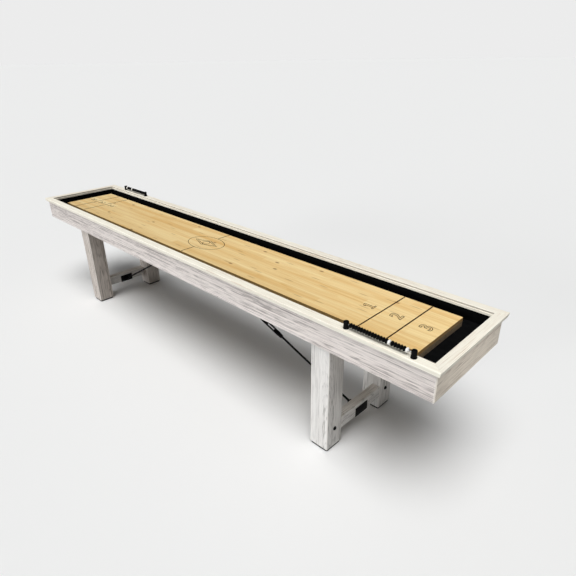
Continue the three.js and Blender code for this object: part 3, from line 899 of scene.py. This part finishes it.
def weld_bead():
    """A rippled bead of weld metal along Z, as long as an ear's flat side."""
    count = round(WELD_LENGTH / (1.6 * MM))
    profile = [(0, -WELD_LENGTH / 2)]
    for i in range(count + 1):
        swell = WELD_RADIUS * (0.86 + 0.14 * (i % 2))
        profile.append((swell, -WELD_LENGTH / 2 + WELD_LENGTH * i / count))
    return revolved(profile + [(0, WELD_LENGTH / 2)], segments=12)


def make_forged(name, shape, node, **choices):
    piece(name, shape, "steel", "black_steel", node, **choices)


def make_saddle(end, brace):
    """A U of flat steel round the stretcher's underside, with two ears for the foot pin."""
    facing = 1 if end == "right" else -1
    low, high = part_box(f"{end}_stretcher")
    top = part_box(f"{end}_brace_saddle")[1].z
    half, bottom = (high.x - low.x) / 2 + SADDLE_GAP, low.z - SADDLE_GAP
    outer, base = half + SADDLE_STEEL, bottom - SADDLE_STEEL
    bend, inner_bend = SADDLE_BEND, SADDLE_INNER_BEND
    inside = [(half, top)] + arc(half - inner_bend, bottom + inner_bend, inner_bend, 0, -90, 5)
    outside = arc(outer - bend, base + bend, bend, 270, 360, 8) + [(outer, top)]
    outline = inside + mirrored(inside) + mirrored(outside) + outside
    middle = (low.x + high.x) / 2
    channel = turned(plate([outline], SADDLE_WIDTH, 0.5 * MM), 90, "X")
    channel = moved(channel, middle, SADDLE_WIDTH / 2)
    pin = brace.across(brace.foot)
    reach = abs(middle - facing * (half + SADDLE_STEEL / 2) - brace.foot.x)
    shapes = [channel, placed(ear_pair(reach), pin)]
    for side in (-1, 1):
        bead_place = Matrix.Translation((-reach * WELD_ALONG, side * WELD_OFFSET, 0))
        shapes.append(placed(weld_bead(), pin @ bead_place))
    make_forged(f"{end}_saddle", merged(*shapes), f"{end}_brace_saddle")


def make_head_bracket(end, brace):
    """A flat plate under the stiffener, with two ears hanging from it for the head pin."""
    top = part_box(f"{end}_brace_head_bracket")[1].z - brace.head.z
    bottom = top - BRACKET_THICKNESS
    profile = [(radius * MM, z * MM, *sides) for radius, z, *sides in SCREW_HEAD]
    head = revolved(profile, segments=24)
    outline = rounded_rectangle(BRACKET_HALF_LENGTH, BRACKET_HALF_WIDTH, BRACKET_CORNER)
    loops, shapes = [outline], []
    for side_x in (-1, 1):
        for side_y in (-1, 1):
            x = side_x * (BRACKET_HALF_LENGTH - SCREW_INSET)
            y = side_y * (BRACKET_HALF_WIDTH - SCREW_INSET)
            loops.append([(x + px, y + py) for px, py in ring_points(SCREW_HOLE, 16)])
            shapes.append(moved(head, x, y, bottom - SCREW_HEAD_DEPTH))
    shapes.append(moved(plate(loops, BRACKET_THICKNESS, 0.5 * MM), z=bottom))
    shapes.append(turned(ear_pair(top - BRACKET_THICKNESS / 2), 90, "Y"))
    for side in (-1, 1):
        shapes.append(moved(on_x(weld_bead()), 0, side * WELD_OFFSET, bottom - 0.6 * MM))
    node = f"{end}_brace_head_bracket"
    make_forged(f"{end}_head_bracket", merged(*shapes), node, place=brace.across(brace.head))


def pin_bolt():
    """A bolt along Y through an ear pair, with a hexagon head, washers, a nut and its own end."""
    grip = EAR_OUTSIDE + 0.3 * MM
    head, tall, washer = PIN_HEAD_RADIUS, PIN_HEAD_HEIGHT, 0.8 * MM
    washer_radius, thread, point = head * 0.99, PIN_RADIUS * 0.95, PIN_RADIUS * 0.8
    profile = [(0, -tall), (head * 0.8, -tall), (head, 0.7 * MM - tall, 6), (head, -washer, 6)]
    profile += [(washer_radius, -washer), (washer_radius, 0), (PIN_RADIUS, 0)]
    profile = [(radius, z - grip, *sides) for radius, z, *sides in profile]
    nut = [(PIN_RADIUS, 0), (washer_radius, 0), (washer_radius, washer), (head, washer, 6)]
    nut += [(head, tall - 1.4 * MM, 6), (head * 0.8, tall - 0.9 * MM)]
    nut += [(thread, tall - 0.9 * MM), (thread, tall - 0.3 * MM), (point, tall), (0, tall)]
    profile += [(radius, z + grip, *sides) for radius, z, *sides in nut]
    return on_y(revolved(profile, segments=36))


def make_braces():
    for end in ENDS:
        brace = Brace(end)
        make_saddle(end, brace)
        make_head_bracket(end, brace)
        for name, pin in (("foot", brace.foot), ("head", brace.head)):
            node, place = f"{end}_brace_{name}_bolt", brace.across(pin)
            make_forged(f"{end}_{name}_bolt", pin_bolt(), node, place=place, sharp=25)
        lower = eyed_rod(brace.middle - ROD_TIP_GAP / 2)
        make_forged(f"{end}_lower_rod", lower, f"{end}_brace_lower_rod", place=brace.line())
        upper = eyed_rod(brace.run.length - brace.middle - ROD_TIP_GAP / 2)
        make_forged(f"{end}_upper_rod", upper, f"{end}_brace_upper_rod", place=brace.back_line())
        body = moved(turned(turnbuckle_body(**TURNBUCKLE), 90, "X"), brace.middle)
        node = f"{end}_turnbuckle"
        make_forged(f"{node}_body", body, node, body=node, place=brace.line())


# ---- post bolts and levelers ----

BOLT_HEAD_HEIGHT = 7 * MM
BOLT_SHANK = 5 * MM
BOLT_SOCKET = 4 * MM
# Each point is a share of the head's radius and of its height.
BOLT_DOME = ((1, 0.12), (0.97, 0.28), (0.88, 0.55), (0.72, 0.8), (0.58, 0.94))
PAD_SOLE = 2.8 * MM
PAD_TOP = 7.7 * MM
PAD_CORNER = 11 * MM
PAD_INSET = 1.2 * MM
STEM_RADIUS = 4.9 * MM
STEM_THREAD = {"depth": 0.7 * MM, "pitch": 1.5 * MM}


def make_post_bolts():
    tall, socket = BOLT_HEAD_HEIGHT, BOLT_SOCKET
    for corner in CORNERS:
        node = f"{corner}_post_bolt"
        low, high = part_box(node)
        facing = 1 if corner.startswith("right") else -1
        head, length = size(node).z / 2, size(node).x - tall
        profile = [(0, -length), (BOLT_SHANK, -length), (BOLT_SHANK, 0), (head, 0)]
        profile += [(head * share, tall * rise) for share, rise in BOLT_DOME]
        profile += [(socket * 1.2, tall), (socket, tall - 0.3 * MM, 6)]
        profile += [(socket, tall - 3.6 * MM, 6), (0, tall - 4.4 * MM)]
        seat = centre(node)
        seat.x = (high.x if facing > 0 else low.x) - facing * tall
        place = Matrix.Translation(seat) @ Matrix.Rotation(math.radians(90 * facing), 4, "Y")
        bolt = revolved(profile, segments=36)
        make_forged(f"{corner}_bolt", bolt, node, place=place, sharp=32)


def make_levelers():
    """Square pads, each a moulded body on a slightly wider sole, with a screw up into the post."""
    for corner in CORNERS:
        node = f"{corner}_leveler"
        half = size(node).x / 2
        sole = plate([rounded_rectangle(half, half, PAD_CORNER)], PAD_SOLE, 0.5 * MM)
        half -= PAD_INSET
        pad = plate([rounded_rectangle(half, half, PAD_CORNER)], PAD_TOP - PAD_SOLE, 1 * MM)
        pad = merged(sole, moved(pad, z=PAD_SOLE))
        start = PAD_TOP / 2
        screw = moved(threaded(STEM_RADIUS, length=size(node).z - start, **STEM_THREAD), z=start)
        on_node = {"replaces": node, "body": node, "place": under(node)}
        piece(f"{corner}_foot_pad", pad, "foot", "foot_plastic", **on_node)
        piece(f"{corner}_foot_screw", screw, "bright", "bright_steel", **on_node)


# ---- scorers ----

BEAD_WAIST = 3.6 * MM
BEAD_BORE = 2.9 * MM
BEAD_CURVE = 1.25
BEAD_RUNS = {
    "long_black_beads": 14,
    "middle_white_bead": 1,
    "short_black_beads": 5,
    "end_white_bead": 1,
}
PIECE_GAP = 0.3 * MM
# Each point is how far in from the foot's rim and how far up it is, in millimetres.
KNOB_FLANGE = ((0.5, 0.3), (0, 0.8), (0, 2), (0.3, 2.5))


def bead(length, radius):
    """One barrel-shaped bead along Z from 0, bored for the rod."""
    steps, gap = 14, PIECE_GAP / 2
    profile = [(BEAD_BORE, gap)]
    for i in range(steps + 1):
        t = 2 * i / steps - 1
        swell = (1 - abs(t) ** BEAD_CURVE) ** 0.5
        z = gap + (length - 2 * gap) * (t + 1) / 2
        profile.append((BEAD_WAIST + (radius - BEAD_WAIST) * swell, z))
    profile.append((BEAD_BORE, length - gap))
    return revolved(profile, segments=32, closed=True)


def scorer_post(foot, height):
    """A turned knob with a thin flange, a slight waist and a shallow domed top."""
    body, waist, shoulder, dome = foot - 1 * MM, foot - 1.5 * MM, 4 * MM, 0.8 * MM
    profile = [(0, PIECE_GAP)] + [(foot - inward * MM, up * MM) for inward, up in KNOB_FLANGE]
    profile.append((body, 3.4 * MM))
    count, low, high = 10, 4 * MM, height - dome - shoulder
    for i in range(1, count + 1):
        t = i / count
        profile.append((body - (body - waist) * math.sin(math.pi * t), low + (high - low) * t))
    profile += arc(body - shoulder, high, shoulder, 0, 90, 8)[1:]
    profile += [((body - shoulder) * 0.5, height - dome * 0.25), (0, height)]
    return revolved(profile, segments=40)


def make_wire(scorer):
    node = f"{scorer}_rod"
    radius, length, ease = size(node).z / 2, size(node).x, 0.5 * MM
    profile = [(0, 0), (radius - ease, 0), (radius, ease)]
    profile += [(reach, length - z) for reach, z in reversed(profile)]
    start = centre(node)
    start.x -= length / 2
    wire, place = on_x(revolved(profile, segments=28)), Matrix.Translation(start)
    piece(f"{scorer}_wire", wire, "bright", "bright_steel", node, place=place)


def make_knobs(scorer):
    for post in ("inner", "outer"):
        node = f"{scorer}_{post}_post"
        knob = moved(scorer_post(size(node).x / 2, size(node).z + PIECE_GAP), z=-PIECE_GAP)
        piece(f"{scorer}_{post}_knob", knob, "black", "black_plastic", node, place=under(node))


def make_beads(scorer):
    start = centre(f"{scorer}_rod")
    for run, count in BEAD_RUNS.items():
        node = f"{scorer}_{run}"
        pitch = (size(node).x + PIECE_GAP) / count
        one = on_x(bead(pitch, size(node).z / 2))
        shape = merged(*[moved(one, x=pitch * i) for i in range(count)])
        start.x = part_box(node)[0].x
        if scorer.startswith("rear"):
            start.x -= PIECE_GAP
        colour = "white" if "white" in run else "black"
        slot, place = f"{colour}_plastic", Matrix.Translation(start)
        piece(f"{node}_turned", shape, colour, slot, node, node, place)


def make_scorers():
    for scorer in ("front_scorer", "rear_scorer"):
        make_wire(scorer)
        make_knobs(scorer)
        make_beads(scorer)


# ---- marks on the playfield ----

MARK_ABOVE = 0.12 * MM
MARK_BELOW = 0.4 * MM
LINE_WIDTH = 7.5 * MM
CENTRE_LINE_WIDTH = 6.5 * MM
THIN_LINE = 3.6 * MM
LINE_FROM_END = (152 * MM, 304 * MM)
DIGIT_FROM_END = {"3": 76 * MM, "2": 228 * MM, "1": 380 * MM}
DIGIT_HEIGHT = 60 * MM
DIGIT_BOLDNESS = 0.012
LINE_END_GAP = 1.6 * MM
OVAL = (147 * MM, 95.5 * MM)
RING_RADIUS = 0.16 * OVAL[0]
# Each lozenge is a share of the oval's half length and of its half width.
LOZENGES = ((0.74, 0.42), (0.6, 0.3))
SERIF_ONE = (
    (-0.27, -0.5), (0.27, -0.5), (0.27, -0.4), (0.1, -0.4), (0.1, 0.5), (-0.03, 0.5),
    (-0.27, 0.33), (-0.22, 0.24), (-0.1, 0.3), (-0.1, -0.4), (-0.27, -0.4),
)


def ribbon(points, width, top, closed=False):
    """A painted stroke of even width along XY points, as a closed solid just proud of the top."""
    count, upper, lower = len(points), top + MARK_ABOVE, top - MARK_BELOW
    verts, faces = [], []
    for i, (x, y) in enumerate(points):
        before = points[i - 1] if closed or i else points[i]
        after = points[(i + 1) % count] if closed or i < count - 1 else points[i]
        back = Vector((x - before[0], y - before[1]))
        ahead = Vector((after[0] - x, after[1] - y))
        back = back.normalized() if back.length else ahead.normalized()
        ahead = ahead.normalized() if ahead.length else back
        along_path = (back + ahead).normalized()
        normal = Vector((-along_path.y, along_path.x))
        reach = width / 2 / max(0.5, normal.dot(Vector((-back.y, back.x))))
        for side, z in ((1, upper), (-1, upper), (-1, lower), (1, lower)):
            verts.append(Vector((x + side * normal.x * reach, y + side * normal.y * reach, z)))
    for i in range(count if closed else count - 1):
        a, b = 4 * i, 4 * ((i + 1) % count)
        for k in range(4):
            m = (k + 1) % 4
            faces.append((a + k, a + m, b + m, b + k))
    if not closed:
        faces += [(3, 2, 1, 0), tuple(4 * (count - 1) + k for k in range(4))]
    return verts, faces


def glyph_loops(text, height):
    """The outlines of a digit, centred on the origin and of the given height."""
    if text == "1":
        return [[(x * height, y * height) for x, y in SERIF_ONE]]
    curve = bpy.data.curves.new("glyph", "FONT")
    curve.body = text
    curve.size = 1
    curve.offset = DIGIT_BOLDNESS
    curve.resolution_u = 6
    obj = add_object("glyph", curve)
    mesh = obj.evaluated_get(bpy.context.evaluated_depsgraph_get()).to_mesh()
    flat = bmesh.new()
    flat.from_mesh(mesh)
    bmesh.ops.remove_doubles(flat, verts=flat.verts[:], dist=1e-5)
    border = {e for e in flat.edges if len(e.link_faces) == 1}
    loops = []
    while border:
        edge = border.pop()
        first, here = edge.verts
        loop = [first.co.copy()]
        while here is not first:
            loop.append(here.co.copy())
            step = next(e for e in here.link_edges if e in border)
            border.remove(step)
            here = step.other_vert(here)
        loops.append(loop)
    flat.free()
    bpy.data.objects.remove(obj)
    bpy.data.curves.remove(curve)
    xs = [p.x for loop in loops for p in loop]
    ys = [p.y for loop in loops for p in loop]
    scale = height / (max(ys) - min(ys))
    x, y = (max(xs) + min(xs)) / 2, (max(ys) + min(ys)) / 2
    return [[((p.x - x) * scale, (p.y - y) * scale) for p in loop] for loop in loops]


def make_marks():
    low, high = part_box("playfield_slab")
    top = high.z
    half_width = (high.y - low.y) / 2 - LINE_END_GAP
    lines = []
    for inset in LINE_FROM_END:
        for x in (low.x + inset, high.x - inset):
            lines.append(ribbon([(x, -half_width), (x, half_width)], LINE_WIDTH, top))
    for side in (-1, 1):
        lines.append(ribbon([(0, side * half_width), (0, side * OVAL[1])], CENTRE_LINE_WIDTH, top))
    piece("scoring_lines", merged(*lines), "ink", "maple")
    for digit, inset in DIGIT_FROM_END.items():
        loops = glyph_loops(digit, DIGIT_HEIGHT)
        for end, x, turn in (("right", high.x - inset, 1), ("left", low.x + inset, -1)):
            # The digit's top points to the middle of the table.
            strokes = [[(x - turn * v, turn * u) for u, v in loop] for loop in loops]
            shapes = [ribbon(stroke, THIN_LINE, top, closed=True) for stroke in strokes]
            piece(f"digit_{digit}_{end}", merged(*shapes), "ink", "maple")
    oval = [(OVAL[0] * x, OVAL[1] * y) for x, y in ring_points(1, 96)]
    outlines = [oval, ring_points(RING_RADIUS, 40)]
    for share_x, share_y in LOZENGES:
        x, y = OVAL[0] * share_x, OVAL[1] * share_y
        outlines.append([(x, 0), (0, y), (-x, 0), (0, -y)])
    ornament = [ribbon(outline, THIN_LINE, top, closed=True) for outline in outlines]
    piece("centre_ornament", merged(*ornament), "ink", "maple")


# ---- the whole table ----

make_camera()
make_lights()
make_floor()
finish_cabinet()
finish_trestles()
make_braces()
make_post_bolts()
make_levelers()
make_scorers()
make_marks()
scene.view_settings.view_transform = "Standard"
